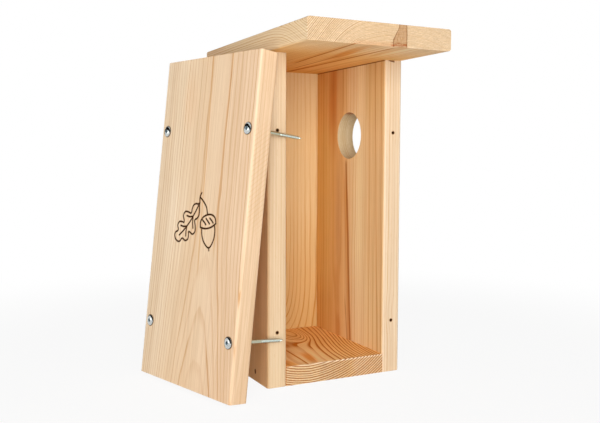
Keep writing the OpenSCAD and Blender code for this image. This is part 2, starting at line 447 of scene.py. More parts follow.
class Timber(Surface):
    """Builds one board's wood in layers: its colour, its growth rings, single marks and its surface."""

    def __init__(self, name, board, seed):
        super().__init__(name)
        self.board = board
        self.seed = seed
        self.place = board.position(self)
        self.x, self.y, self.z = self.split(self.place)[:3]
        self.fibres = self.use(FIBRES, position=self.place, seed=seed)
        self.edges = self.use(BOARD_EDGES, position=self.place, size=tuple(board.size))
        self.wander = self.minus(self.noise(self.place, (30.0, 30.0, 9.0), seed)[0], 0.5)
        self.wavy_x = self.plus(self.x, self.times(self.wander, 3 * MM))

    def knot(self, centre, reach, height):
        """A smooth swelling of the growth rings round a place."""
        shares = self.vector("DIVIDE", self.vector("SUBTRACT", self.place, centre), reach)
        away = self.vector("LENGTH", shares)
        return self.times(self.math("EXPONENT", self.times(self.times(away, away), -1.0)), height)

    def streak(self, start, stop, half_width, blur=0.6, fade=12 * MM):
        """A mark along the grain between two places (across, along)."""
        middle = self.smooth(self.z, start[1], stop[1], start[0], stop[0], "LINEAR")
        away = self.math("ABSOLUTE", self.minus(self.wavy_x, middle))
        across = self.smooth(away, half_width * (1 - blur), half_width * (1 + blur), 1.0, 0.0)
        begun = self.smooth(self.z, start[1] - fade, start[1] + fade)
        return self.both(across, self.both(begun, self.below(self.z, stop[1], fade)))

    def streaks(self, *rows):
        return self.either(*[self.streak(*row) for row in rows])

    def distance(self, x, z, centre, reach=(1.0, 1.0)):
        """How far two coordinates are from a centre, in shares of a reach along each."""
        across = self.over(self.minus(x, centre[0]), reach[0])
        along = self.over(self.minus(z, centre[1]), reach[1])
        return self.vector("LENGTH", self.join(across, along))

    def patch(self, centre, reach, hard=0.5):
        """A round or oval mark with soft edges at a place (across, along)."""
        return self.smooth(self.distance(self.wavy_x, self.z, centre, reach), hard, 1.0, 1.0, 0.0)

    def shade(self, light, red, blue):
        """Multiplies the colour by a light, whose powers red and blue take."""
        toned = self.join(self.math("POWER", light, red), light, self.math("POWER", light, blue))
        self.colour = self.blend(1.0, self.colour, toned, "MULTIPLY")

    def zones(self, stops, wander=0.06):
        """Starts the colour, which changes across the board. Places are shares of its width."""
        across = self.over(self.x, self.board.size.x)
        self.colour = self.ramp(self.plus(across, self.times(self.wander, wander)), stops)

    def lay_rings(self, pith, ring_width, contrast, late=(0.82, 0.64, 0.44), calm=None, even=0.4, knots=(),
                  **form):
        """Lays growth rings over the colour, and gives their strength."""
        swelling = 0.0
        for knot in knots:
            swelling = self.plus(swelling, self.knot(*knot))
        rings = self.use(GROWTH_RINGS, position=self.place, seed=self.seed, pith=pith, ring_width=ring_width,
                         swelling=swelling, **{**RING_FORM, **form})
        slow = self.smooth(rings["Band"], 0.35, 0.65, 0.95, 1.05)
        tone = self.times(rings["Tone"], rings["Tone"])
        strength = self.times(rings["Late"], self.smooth(tone, 0.0, 1.0, even * contrast, contrast))
        if calm is not None:
            strength = self.times(strength, self.smooth(calm, 0.0, 1.0, 1.0, 0.3))
        self.shade(slow, 0.6, 1.5)
        self.paint(strength, late)
        return strength

    def finished(self, strength, end_tone=(0.9, 0.88, 0.85), end_late=(0.9, 0.82, 0.72), streaks=1.0,
                 warmth=1.4, torn=0.0):
        """Adds fibres, flecks, lightened arrises, cut ends, torn wood and relief, and gives the material."""
        streak = self.smooth(self.fibres["Streak"], 0.3, 0.7, 1.0 - 0.08 * streaks, 1.0 + 0.06 * streaks)
        hair = self.smooth(self.fibres["Hair"], 0.3, 0.7, 0.975, 1.025)
        end, saw = self.edges["End"], self.edges["Saw"]
        self.shade(self.times(streak, hair), 1 / warmth, warmth)
        self.paint(self.fibres["Fleck"], (0.9, 0.8, 0.68), 0.6)
        self.paint(self.edges["Arris"], (1.04, 1.05, 1.06), 0.6)
        self.paint(self.both(end, self.smooth(saw, 0.3, 0.7, 0.6, 1.2)), end_tone)
        self.paint(self.both(end, strength), end_late)
        self.cover(torn, 252, 228, 194)
        height = self.plus(self.times(strength, 0.1), self.times(self.fibres["Hair"], 0.4))
        height = self.plus(height, self.times(saw, end))
        roughness = self.smooth(strength, 0.0, 1.0, 0.72, 0.6)
        self.shader.inputs["Specular IOR Level"].default_value = WOOD_GLOSS
        return self.complete(roughness, 0.0, height, 0.35, 0.1 * MM)


def front_wood():
    t = Timber("front_softwood", FRONT, (3.0, 1.0, 7.0))
    t.zones([(0.0, 244, 220, 189), (0.28, 244, 217, 183), (0.5, 239, 208, 172), (0.62, 241, 212, 178),
             (0.75, 237, 206, 172), (0.98, 235, 202, 167), (0.996, 226, 194, 158)])
    soft = t.both(t.smooth(t.x, 0.088, 0.098), t.below(t.x, 0.130, 0.006))
    edge = t.smooth(t.x, FRONT.size.x - 0.8 * MM, FRONT.size.x - 0.3 * MM)
    middle = t.both(t.smooth(t.x, 0.052, 0.066), t.below(t.x, 0.094, 0.006))
    calm = t.either(t.times(t.either(soft, edge), 0.9), t.times(middle, 0.5))
    strength = t.lay_rings((0.113, 0.0426, 0), 4.4 * MM, 1.3, (0.79, 0.62, 0.46), calm,
                           outer_radius=0.074, outer_width=3.6 * MM, bend=(-0.002, 0.029, 0),
                           bend_from=-0.25, bend_to=0.22, sway=3 * MM, unevenness=0.3, early_share=0.62)
    t.paint(t.patch((0.045, 0.19), (0.05, 0.07), 0.2), (1.03, 1.05, 1.08))
    t.paint(t.patch((0.056, 0.33), (0.022, 0.05), 0.2), (1.0, 0.95, 0.91))
    t.paint(t.streaks(((0.100, 0.135), (0.093, 0.400), 1.0 * MM), ((0.127, 0.16), (0.131, 0.400), 1.0 * MM)),
            (0.90, 0.74, 0.55), 0.8)
    slope = t.minus(t.z, t.times(t.y, HATCH_SLOPE))
    hatch = t.math("SINE", t.times(slope, 2 * math.pi / HATCH_STEP))
    planed = t.both(t.smooth(hatch, 0.4, 0.9), t.below(t.minus(FRONT.size.x, t.x), 0.4 * MM, 0.2 * MM),
                    t.smooth(t.z, 0.17, 0.21), t.below(t.z, 0.30, 0.02))
    t.paint(planed, (0.96, 0.9, 0.82), 0.7)
    # Painted shadow: the wood is darkened round each screw head, where the head's shade falls
    for x in SCREW_ACROSS:
        for z in SCREW_HEIGHTS:
            away = t.distance(t.x, t.z, (x, z))
            t.paint(t.below(away, HEAD_R + 0.5 * MM, 0.5 * MM), (0.55, 0.44, 0.34))
    ragged = t.minus(t.noise(t.place, (900.0, 900.0, 900.0))[0], 0.5)
    burn = t.plus(t.attribute("burn"), t.times(ragged, 0.1))
    t.cover(t.smooth(burn, 0.2, 0.62, 0.0, 0.4), 150, 98, 56)
    t.cover(t.smooth(burn, 0.55, 0.68), 58, 30, 10)
    return t.finished(strength, streaks=1.4)


def left_wood():
    t = Timber("left_softwood", LEFT, (9.0, 4.0, 2.0))
    t.zones([(0.0, 240, 208, 166), (0.95, 238, 206, 166), (0.995, 219, 191, 156)], 0)
    # Painted light: the side's top is lightened against the shade that the roof casts on it
    t.paint(t.smooth(t.z, 0.28, 0.34), (1.10, 1.13, 1.16))
    t.paint(t.below(t.z, 0.06, 0.04), (1.02, 1.05, 1.05))
    # Painted shade: the outer face, which lies in shade behind the leaning front board, is darkened and
    # warmed
    t.paint(t.below(t.y, 0.5 * MM, 0.3 * MM), (0.90, 0.72, 0.58))
    edge = t.smooth(t.x, LEFT.size.x - 3 * MM, LEFT.size.x - 2 * MM)
    t.paint(t.both(t.below(t.y, 2.2 * MM, 0.6 * MM), edge), (0.91, 0.85, 0.77))
    strength = t.lay_rings((0.10, -0.05, 0), 2.4 * MM, 0.6, sway=3 * MM, early_share=0.6)
    # Painted shade: the wood round each nail is darkened where its hole lies in shade
    for x in (NAIL_INSET, LEFT.size.x - NAIL_INSET):
        away = t.distance(t.x, t.z, (x, NAIL_HEIGHT), NAIL_HOLE_SHADE)
        t.paint(t.both(t.below(t.y, 4 * MM, 1 * MM), t.below(away, 0.85, 0.15)), (0.20, 0.10, 0.05))
    shade_pilot_holes(t)
    return t.finished(strength)


def right_wood():
    t = Timber("right_softwood", RIGHT, (5.0, 8.0, 3.0))
    inner = t.below(t.y, 0.5 * MM, 0.3 * MM)
    t.zones([(0.0, 223, 168, 94), (0.19, 226, 176, 105), (0.26, 224, 170, 103), (0.36, 224, 170, 108),
             (0.44, 230, 184, 124), (0.56, 242, 209, 160), (0.70, 245, 216, 168), (0.80, 240, 205, 153),
             (0.88, 235, 197, 144), (1.0, 239, 204, 154)], 0.02)
    t.paint(t.streak((0.0455, 0.29), (0.0465, 0.40), 10 * MM, 0.5, 50 * MM), (0.84, 0.64, 0.46))
    low = t.below(t.z, 0.09, 0.03)
    high = t.smooth(t.z, 0.28, 0.34)
    t.paint(t.both(t.below(t.wavy_x, 0.046, 0.002), low), (0.94, 0.88, 0.84))
    t.paint(t.both(t.below(t.wavy_x, 0.056, 0.004), high), (1.0, 0.92, 0.92))
    t.paint(t.both(t.smooth(t.wavy_x, 0.125, 0.135), high), (0.91, 0.88, 0.80))
    t.paint(t.streak((0.112, 0.12), (0.112, 0.27), 14 * MM, 0.6, 40 * MM), (1.03, 1.08, 1.10))
    # Painted shade in the corner where the right side meets the back board
    t.paint(t.below(t.x, 0.9 * MM, 0.5 * MM), (0.66, 0.46, 0.32))
    t.paint(t.streak((0.066, 0.02), (0.063, 0.05), 6 * MM, 0.5, 10 * MM), (0.92, 0.8, 0.7))
    t.paint(t.streak((0.0945, 0.0), (0.0805, 0.24), 4.6 * MM, 0.6, 30 * MM), (0.84, 0.64, 0.44), 0.85)
    t.paint(t.streak((0.0975, 0.0), (0.0825, 0.262), 2.2 * MM, 0.6, 6 * MM), (0.60, 0.36, 0.20), 0.85)
    t.paint(t.streak((0.091, 0.0), (0.0825, 0.075), 1.2 * MM), (0.66, 0.46, 0.30), 0.8)
    lines = t.streaks(((0.0825, 0.32), (0.081, 0.40), 0.9 * MM), ((0.074, 0.33), (0.073, 0.40), 0.8 * MM),
                      ((0.142, 0.0), (0.140, 0.40), 0.8 * MM), ((0.162, 0.0), (0.152, 0.40), 1.0 * MM),
                      ((0.171, 0.0), (0.166, 0.40), 0.8 * MM))
    t.paint(lines, (0.80, 0.58, 0.36), 0.7)
    low_lines = t.streaks(((0.1535, 0.0), (0.150, 0.13), 0.9 * MM, 0.6, 40 * MM),
                          ((0.1645, 0.0), (0.160, 0.13), 1.4 * MM, 0.6, 40 * MM),
                          ((0.1715, 0.0), (0.170, 0.13), 1.0 * MM, 0.6, 40 * MM))
    t.paint(t.both(t.smooth(t.x, 0.128, 0.136), t.smooth(t.z, 0.08, 0.16, 1.0, 0.0)), (1.04, 1.10, 1.14))
    t.paint(low_lines, (0.78, 0.60, 0.42), 0.7)
    t.paint(t.patch((0.062, 0.19), (0.012, 0.10), 0.2), (0.90, 0.87, 0.90))
    t.colour = t.blend(inner, linear(231, 205, 173), t.colour)
    away = t.distance(t.x, t.z, (ENTRANCE_X, ENTRANCE_Z))
    bore = t.both(t.below(away, ENTRANCE_R + 0.3 * MM, 0.2 * MM), t.smooth(t.y, 0.3 * MM, 0.8 * MM))
    t.paint(bore, (0.76, 0.76, 0.66))
    strength = t.lay_rings((0.06, -0.09, 0), 2.6 * MM, 1.0, sway=3 * MM, early_share=0.6,
                           knots=(((0.175, 0.009, 0.075), (0.03, 0.006, 0.02), 0.0022),))
    top_mark = t.both(bore, t.smooth(t.z, ENTRANCE_Z + 27 * MM, ENTRANCE_Z + 30 * MM),
                      t.below(t.y, 13 * MM, 4 * MM))
    t.paint(top_mark, (0.86, 0.52, 0.42))
    # Painted shade along the joint under the roof, at the top of the inner face
    gap = t.both(inner, t.smooth(t.z, RIGHT.size.z - 1.4 * MM, RIGHT.size.z - 0.5 * MM))
    t.paint(gap, (0.40, 0.24, 0.14))
    # Painted shadow: a thin dark sliver at the top of the front edge, where the roof meets the side
    roof_gap_shadow_height = t.smooth(t.y, 4 * MM, 13 * MM, RIGHT.size.z - 1.2 * MM, RIGHT.size.z - 2.4 * MM)
    roof_gap_shadow = t.both(t.smooth(t.minus(t.z, roof_gap_shadow_height), -0.3 * MM, 0.3 * MM), t.smooth(t.y, 4 * MM, 6 * MM),
                  t.below(t.y, 13 * MM, 1 * MM))
    edge = t.smooth(t.x, RIGHT.size.x - 0.6 * MM, RIGHT.size.x - 0.3 * MM)
    t.paint(t.both(edge, roof_gap_shadow), (0.3, 0.2, 0.14))
    shade_pilot_holes(t)
    return t.finished(strength)


def shade_pilot_holes(t):
    """Paints shade into the pilot holes of a side's front edge: the wood inside them is darkened."""
    middle = t.board.size.y / 2
    inside = t.smooth(t.x, t.board.size.x - PILOT_DEPTH - 1 * MM, t.board.size.x - PILOT_DEPTH)
    for height in SCREW_HEIGHTS:
        away = t.distance(t.y, t.z, (middle, height))
        t.paint(t.both(t.below(away, PILOT_R + 0.8 * MM, 0.3 * MM), inside), (0.45, 0.30, 0.18))
        t.paint(t.both(t.below(away, PILOT_R + 0.2 * MM, 0.1 * MM), inside), (0.14, 0.09, 0.06))


def back_wood():
    t = Timber("back_softwood", BACK, (2.0, 6.0, 1.0))
    t.zones([(0.0, 236, 204, 157), (0.55, 234, 204, 156), (0.8, 234, 202, 150), (1.0, 232, 198, 146)])
    t.paint(t.below(t.z, 0.14, 0.09), (0.95, 0.86, 0.70))
    t.paint(t.below(t.z, 0.045, 0.03), (0.96, 0.94, 0.86))
    strength = t.lay_rings((0.165, 0.03, 0), 4.6 * MM, 1.3, (0.82, 0.60, 0.36),
                           t.smooth(t.z, 0.12, 0.24, 0.0, 0.75), even=0.6, sway_length=0.5, unevenness=0.5,
                           early_share=0.66, knots=(((0.070, 0, -0.02), (0.05, 0.1, 0.06), -0.050),
                                                    ((0.078, 0, 0.12), (0.02, 0.1, 0.08), -0.006)))
    return t.finished(strength, streaks=0.8, warmth=1.8)


def floor_wood():
    t = Timber("floor_softwood", FLOOR, (1.0, 2.0, 9.0))
    t.zones([(0.0, 250, 206, 148), (0.4, 254, 216, 156), (0.7, 254, 206, 136), (1.0, 252, 202, 130)])
    top = t.smooth(t.y, FLOOR.size.y - 0.6 * MM, FLOOR.size.y - 0.2 * MM)
    t.paint(t.both(top, t.smooth(t.z, 0.10, 0.15)), (1.06, 1.08, 1.12))
    calm = t.both(top, t.below(t.wavy_x, 0.066, 0.003), t.smooth(t.z, 0.085, 0.105))
    calm = t.either(t.times(calm, 0.85), t.times(t.below(t.z, 0.06, 0.02), 0.4))
    strength = t.lay_rings((0.073, 0.133, 0), 2.7 * MM, 1.35, (0.60, 0.27, 0.05), calm, even=0.8,
                           bend=(-0.043, 0, 0), bend_from=-0.03, bend_to=0.175, sway_length=0.12,
                           unevenness=0.5, early_share=0.45,
                           knots=(((0.077, 0.023, 0.029), (0.016, 0.06, 0.038), -0.011),))
    t.paint(t.both(t.streak((0.0325, 0.105), (0.027, 0.20), 1.3 * MM), top), (0.66, 0.34, 0.12))
    t.paint(t.both(t.patch((0.006, 0.168), (0.014, 0.035)), top), (0.90, 0.66, 0.40))
    orange = t.both(t.streak((0.046, 0.130), (0.040, 0.168), 5.5 * MM, 0.6, 14 * MM), top)
    t.paint(orange, (0.92, 0.54, 0.20), 0.85)
    corner = t.both(t.smooth(t.y, FLOOR.size.y - 2.2 * MM, FLOOR.size.y - 1.0 * MM),
                    t.smooth(t.z, FLOOR.size.z - 1.4 * MM, FLOOR.size.z - 0.6 * MM))
    torn = t.both(corner, t.smooth(strength, 0.25, 0.6, 1.0, 0.0), t.smooth(t.x, 0.0, 0.085, 0.35, 1.0))
    strength = t.times(strength, t.plus(corner, 1.0))
    end = t.edges["End"]
    t.paint(t.both(end, t.below(t.x, 0.042, 0.006)), (1.0, 1.02, 1.04))
    t.paint(t.both(end, t.smooth(t.x, 0.040, 0.048), t.below(t.x, 0.086, 0.006)), (0.90, 0.87, 0.88))
    t.paint(t.both(end, t.smooth(t.x, 0.085, 0.095)), (0.97, 1.02, 1.27))
    t.paint(t.both(end, t.smooth(t.x, 0.06, 0.09, 1.0, 0.6), strength), (0.80, 0.64, 0.46))
    return t.finished(strength, end_tone=(0.71, 0.78, 0.95), warmth=1.8, torn=t.times(torn, 0.85))


def roof_wood():
    t = Timber("roof_softwood", ROOF, (7.0, 3.0, 5.0))
    t.zones([(0.0, 238, 208, 165), (0.5, 240, 208, 164), (1.0, 242, 212, 170)])
    under = t.below(t.y, 0.5 * MM, 0.3 * MM)
    t.paint(t.both(under, t.smooth(t.z, 0.19, 0.26)), (1.12, 1.20, 1.34))
    t.paint(t.both(under, t.smooth(t.z, 0.19, 0.30, 1.0, 0.15)), (1.10, 0.90, 0.57))
    # Painted shade: the underside is darkened towards the back, deep under the roof
    t.paint(t.both(under, t.below(t.z, 0.06, 0.03)), (0.91, 0.83, 0.64))
    t.paint(t.both(under, t.below(t.x, 0.09, 0.03), t.smooth(t.z, 0.21, 0.25)), (0.98, 0.95, 0.90))
    end = t.edges["End"]
    t.paint(t.both(end, t.below(t.x, 0.06, 0.02)), (1.03, 1.04, 1.07))
    calm = t.both(end, t.either(t.smooth(t.x, 0.116, 0.124), t.smooth(t.x, 0.035, 0.065, 0.0, 0.6)))
    strength = t.lay_rings((0.115, -0.135, 0), 1.5 * MM, 1.0, (0.80, 0.60, 0.36), calm, outer_radius=0.166,
                           outer_width=2.2 * MM, sway=5 * MM, unevenness=0.6,
                           knots=(((-0.01, 0.012, 0.32), (0.045, 0.1, 0.06), 0.030),))
    side = t.below(t.x, 0.6 * MM, 0.3 * MM)
    # Painted light and shade: the roof's left side is lightened towards the front and darkened at its back
    # end
    t.paint(t.both(side, t.smooth(t.z, 0.02, 0.12)), (1.10, 1.13, 1.20))
    t.paint(t.both(side, t.below(t.z, 0.07, 0.03)), (1.0, 0.94, 0.97))
    t.paint(t.both(side, strength, t.smooth(t.z, 0.0, 0.294, 1.0, 0.5)), (0.80, 0.68, 0.50))
    t.paint(t.both(end, strength, t.smooth(t.x, 0.03, 0.05, 1.0, 0.2)), (0.72, 0.62, 0.48))
    t.paint(t.both(under, strength), (0.90, 0.82, 0.68))
    lens = t.both(under, t.streak((0.092, 0.185), (0.078, 0.27), 7 * MM, 0.45, 45 * MM))
    t.paint(lens, (0.90, 0.62, 0.36))
    bands = t.streaks(((0.106, 0.03), (0.108, 0.22), 5 * MM, 0.7, 40 * MM),
                      ((0.070, 0.12), (0.056, 0.28), 4 * MM, 0.7, 40 * MM))
    t.paint(t.both(under, bands), (0.92, 0.76, 0.56), 0.8)
    lines = t.streaks(((0.108, 0.03), (0.110, 0.286), 1.9 * MM), ((0.073, 0.12), (0.0545, 0.31), 1.3 * MM),
                      ((0.097, 0.07), (0.088, 0.205), 1.0 * MM))
    t.paint(t.both(under, lines), (0.62, 0.32, 0.11), 0.9)
    # Painted shade on the underside along the joint with the right side
    right_side_shade = t.both(under, t.smooth(t.x, 0.1545, 0.1555), t.below(t.z, 0.197, 0.002))
    t.paint(right_side_shade, (0.40, 0.24, 0.14))
    inclusion(t)
    return t.finished(strength, end_tone=(0.74, 0.73, 0.76), end_late=(0.70, 0.56, 0.40))


def inclusion(t):
    """The dark patch that crosses the roof's front end."""
    end = t.smooth(t.z, ROOF.size.z - 1.0 * MM, ROOF.size.z - 0.5 * MM)
    rough = t.times(t.minus(t.noise(t.place, (250.0, 250.0, 250.0))[0], 0.5), 1.6 * MM)
    x = t.plus(t.x, rough)
    left = t.smooth(t.y, 4 * MM, 24 * MM, 0.1035, 0.1115)
    from_left = t.minus(x, left)
    from_right = t.minus(0.1208, x)
    inside = t.both(end, t.smooth(from_left, -0.3 * MM, 0.2 * MM), t.smooth(from_right, -0.3 * MM, 0.2 * MM))
    rim = t.math("MINIMUM", t.math("ABSOLUTE", from_left), t.math("ABSOLUTE", from_right))
    outline = t.both(end, t.below(rim, 0.55 * MM, 0.35 * MM), t.smooth(from_left, -1.2 * MM, -0.8 * MM),
                     t.smooth(from_right, -1.2 * MM, -0.8 * MM))
    grainy = t.noise(t.place, (900.0, 180.0, 0.0))[0]
    t.paint(inside, (0.80, 0.70, 0.62))
    t.paint(t.both(inside, t.smooth(grainy, 0.45, 0.7)), (0.82, 0.72, 0.62))
    base = t.both(t.below(t.y, 4.5 * MM, 1 * MM), t.smooth(t.x, 0.098, 0.103), t.below(t.x, 0.1212, 0.0005))
    waves = t.noise(t.place, (120.0, 800.0, 0.0), detail=1.0)[0]
    t.paint(t.both(end, base, t.smooth(waves, 0.42, 0.6)), (0.76, 0.46, 0.34))
    pink = t.both(t.below(t.y, 4 * MM, 2.5 * MM), t.smooth(t.x, 0.045, 0.065), t.below(t.x, 0.102, 0.004))
    t.paint(t.both(end, pink), (0.98, 0.84, 0.76), 0.8)
    t.paint(outline, (0.50, 0.36, 0.26), 0.85)


def zinc_steel():
    """Bright zinc plating, a little cloudy, with painted shade and dark reflection round the head's rim and
    painted shade in the drive.
    """
    g = Surface("zinc_plated_steel")
    place = g.node("TexCoord").outputs["Object"]
    cloud = g.noise(place, (900.0, 900.0, 900.0), detail=3.0)[0]
    grain = g.noise(place, (5000.0, 5000.0, 5000.0))[0]
    out, up = g.attribute("from_axis"), g.attribute("above_seat")
    top = RIM_H + DOME_H
    # Painted shade and dark reflection: the head's rim is darkened
    rim = g.both(g.smooth(out, HEAD_R - 0.75 * MM, HEAD_R - 0.2 * MM), g.smooth(up, -0.1 * MM, 0))
    # Painted shade: the drive's recess is darkened
    drive = g.both(g.smooth(up, top - DRIVE_DEPTH + 0.2 * MM, top - 0.3 * MM, 1.0, 0.0),
                   g.smooth(out, DRIVE_R + DRIVE_LOBE, DRIVE_R + 2 * DRIVE_LOBE, 1.0, 0.0),
                   g.smooth(up, 0.2 * MM, 0.5 * MM))
    g.colour = g.ramp(cloud, [(0.3, 178, 184, 184), (0.7, 214, 217, 214)])
    g.cover(g.smooth(up, -1 * MM, 0, 1.0, 0.0), 182, 182, 160)
    g.cover(g.smooth(up, -SHANK_LEN - 1 * MM, -SHANK_LEN, 1.0, 0.0), 222, 232, 226)
    g.cover(rim, 84, 74, 62)
    g.cover(g.times(drive, 0.85), 72, 88, 100)
    roughness = g.plus(g.smooth(cloud, 0.3, 0.7, 0.06, 0.12), g.times(rim, 0.35))
    return g.complete(roughness, 1.0, grain, 0.12, 0.03 * MM)


def nail_steel():
    """Plain dark steel with a few rusty specks."""
    g = Surface("nail_steel")
    speck = g.noise(g.node("TexCoord").outputs["Object"], (1500.0, 1500.0, 1500.0), detail=3.0)[0]
    g.colour = g.ramp(speck, [(0.42, 44, 36, 29), (0.55, 60, 50, 42), (0.7, 66, 40, 25)])
    roughness = g.smooth(speck, 0.3, 0.7, 0.4, 0.7)
    return g.complete(roughness, g.smooth(speck, 0.5, 0.7, 0.35, 0.05), speck, 0.3, 0.05 * MM)


def piece_from(bm, node, body, material):
    """Makes a bmesh into a finished piece that rides on a body in a node's place."""
    mesh = add_mesh(node + "_dressed", bm)
    mesh.materials.append(material)
    mesh.polygons.foreach_set("use_smooth", [True] * len(mesh.polygons))
    mesh.set_sharp_from_angle(angle=SHARP_ANGLE)
    piece = add_object(node + "_dressed", mesh)
    flat = piece.modifiers.new("flat_faces", "WEIGHTED_NORMAL")
    flat.weight = 100
    flat.keep_sharp = True
    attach(piece, body)
    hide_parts(node)


def board_mesh(node):
    """A copy of a board's solid with flat faces in one piece and its cut edges eased."""
    bm = bmesh.new()
    bm.from_mesh(frame["nodes"][node].data)
    bmesh.ops.remove_doubles(bm, verts=bm.verts, dist=0.002 * MM)
    bmesh.ops.dissolve_limit(bm, angle_limit=math.radians(0.5), verts=bm.verts, edges=bm.edges)
    cut = [e for e in bm.edges if e.is_manifold and e.calc_face_angle(0) > CUT_ANGLE]
    bmesh.ops.bevel(bm, geom=cut, offset=CUT_EASE, segments=2, profile=0.5, affect="EDGES", material=-1,
                    clamp_overlap=True)
    return bm


# The leaning front board's outward normal, which its screws follow, and its other directions
OUT = Vector(next(j["axis"] for j in frame["joints"] if j["name"] == "upper_left_screw_out")).normalized()
INTO_FRONT = -OUT
ACROSS_FRONT = INTO_FRONT.cross(Vector((0, 0, 1)))

FRONT = Board("front_board", ACROSS_FRONT, INTO_FRONT)
LEFT = Board("left_side_board", (0, -1, 0), (1, 0, 0))
RIGHT = Board("right_side_board", (0, -1, 0), (1, 0, 0))
BACK = Board("back_board", (1, 0, 0), (0, 1, 0))
FLOOR = Board("floor_board", (1, 0, 0), (0, 0, 1))
ROOF = Board("roof_board", (1, 0, 0), (0, 0, 1))


def curve(points, steps=24):
    """A smooth line through a few points."""
    line = []
    padded = [points[0], *points, points[-1]]
    for i in range(len(points) - 1):
        a, b, c, d = (Vector(p) for p in padded[i:i + 4])
        for s in range(steps):
            t = s / steps
            line.append(0.5 * (2 * b + (c - a) * t + (2 * a - 5 * b + 4 * c - d) * t * t
                               + (3 * b - a - 3 * c + d) * t * t * t))
    line.append(Vector(points[-1]))
    return line


def oak_leaf(stem, tip, half_width):
    """An oak leaf's lobed outline, its midrib and its veins, as lines."""
    stem, tip = Vector(stem), Vector(tip)
    along = tip - stem
    side = Vector((-along.y, along.x)).normalized() * half_width

    def at(t, w):
        return stem + along * t + side * w + side * LEAF_BOW * math.sin(math.pi * min(1.0, t))

    lines = []
    for sign in (1, -1):
        lines.append(curve([at(t, sign * w) for t, w in LEAF_EDGE], 10))
        for start, t, w in LEAF_VEINS:
            bend = at((start + t) / 2 + 0.01, sign * w * 0.45)
            lines.append(curve([at(start, 0), bend, at(t, sign * w)], 8))
    lines.append([at(MIDRIB_END * i / 50, 0) for i in range(51)])
    return lines


def acorn(top, turn, size):
    """An acorn that hangs from a point: its cup with three scales, its nut and the nut's point, as lines."""
    def place(x, y):
        c, s = math.cos(turn), math.sin(turn)
        return Vector(top) + Vector((c * x - s * y, s * x + c * y)) * size

    lines = [curve([place(*p) for p in part], 10) for part in (CUP_TOP, CUP_RIM, NUT, NUT_POINT)]
    for x in CUP_SCALES:
        lines.append([place(x - 0.12, -0.16 - 0.1 * abs(x)), place(x, -0.30), place(x + 0.12, -0.44)])
    return lines


def motif_lines():
    """The burned drawing of an oak leaf and an acorn on one twig, as lines about its centre, in metres."""
    lines = oak_leaf((0.0045, 0.0225), (-0.0385, -0.0225), 0.0165)
    lines += acorn((0.0215, 0.0095), math.radians(12), 0.0245)
    lines.append(curve([(0.0065, 0.034), (0.0040, 0.029), (0.0045, 0.0225)]))
    lines.append(curve([(0.0040, 0.029), (0.0110, 0.0245), (0.0180, 0.0180), (0.0215, 0.0095)]))
    return lines


def fill_in(line):
    """The points of a line, filled in so that no gap is wide."""
    dots = [line[0]]
    for a, b in zip(line, line[1:]):
        steps = max(1, math.ceil((b - a).length / LINE_GAP))
        dots += [a.lerp(b, i / steps) for i in range(1, steps + 1)]
    return dots


def on_front(face):
    """Whether a face of a mesh in the front board's own space lies on the board's front."""
    return face.normal.y < -0.99 and face.calc_center_median().y < FACE_SLACK


def slice_faces(bm, wanted, point, normal):
    """Cuts the wanted faces along a plane."""
    faces = [f for f in bm.faces if wanted(f)]
    geom = list({*faces, *(e for f in faces for e in f.edges), *(v for f in faces for v in f.verts)})
    bmesh.ops.bisect_plane(bm, geom=geom, dist=1e-7, plane_co=point, plane_no=normal)


def front_board_mesh():
    """The front board with its motif burned into it as a shallow groove."""
    bm = board_mesh("front_board")
    bmesh.ops.transform(bm, matrix=FRONT.matrix.inverted(), verts=bm.verts)
    left, right = MOTIF_X - MOTIF_HALF_W, MOTIF_X + MOTIF_HALF_W
    low, high = MOTIF_Z - MOTIF_HALF_H, MOTIF_Z + MOTIF_HALF_H
    bm.normal_update()

    def inside(place):
        return left < place.x < right and low < place.z < high

    def in_field(face):
        return on_front(face) and inside(face.calc_center_median())

    ways = ((Vector((1, 0, 0)), left, right), (Vector((0, 0, 1)), low, high))
    for normal, *ends in ways:
        for end in ends:
            slice_faces(bm, on_front, normal * end, normal)
    for normal, start, stop in ways:
        count = round((stop - start) / MOTIF_CELL)
        for i in range(1, count):
            slice_faces(bm, in_field, normal * (start + (stop - start) * i / count), normal)
    dots = [Vector((MOTIF_X + p.x, 0, MOTIF_Z + p.y)) for line in motif_lines() for p in fill_in(line)]
    tree = KDTree(len(dots))
    for i, dot in enumerate(dots):
        tree.insert(dot, i)
    tree.balance()
    for reach in FINE_REACHES:
        fine = [f for f in bm.faces if in_field(f) and tree.find(f.calc_center_median())[2] < reach]
        edges = list({e for f in fine for e in f.edges})
        bmesh.ops.subdivide_edges(bm, edges=edges, cuts=1, use_grid_fill=True)
        bm.normal_update()
    burn = bm.verts.layers.float.new("burn")
    for v in bm.verts:
        if abs(v.co.y) < FACE_SLACK and inside(v.co):
            away = tree.find(v.co)[2]
            if away < SCORCH_R:
                v[burn] = 1 - away / SCORCH_R
                v.co.y += LINE_DEPTH * max(0, 1 - (away / LINE_R) ** 2)
    bmesh.ops.transform(bm, matrix=FRONT.matrix, verts=bm.verts)
    return bm


def make_boards():
    piece_from(front_board_mesh(), "front_board", "front", front_wood())
    for node, slot, wood in (("left_side_board", "pale_softwood", left_wood),
                             ("right_side_board", "pale_softwood", right_wood),
                             ("back_board", "warm_softwood", back_wood),
                             ("floor_board", "warm_softwood", floor_wood),
                             ("roof_board", "pale_softwood", roof_wood)):
        piece_from(board_mesh(node), node, "box", wood())


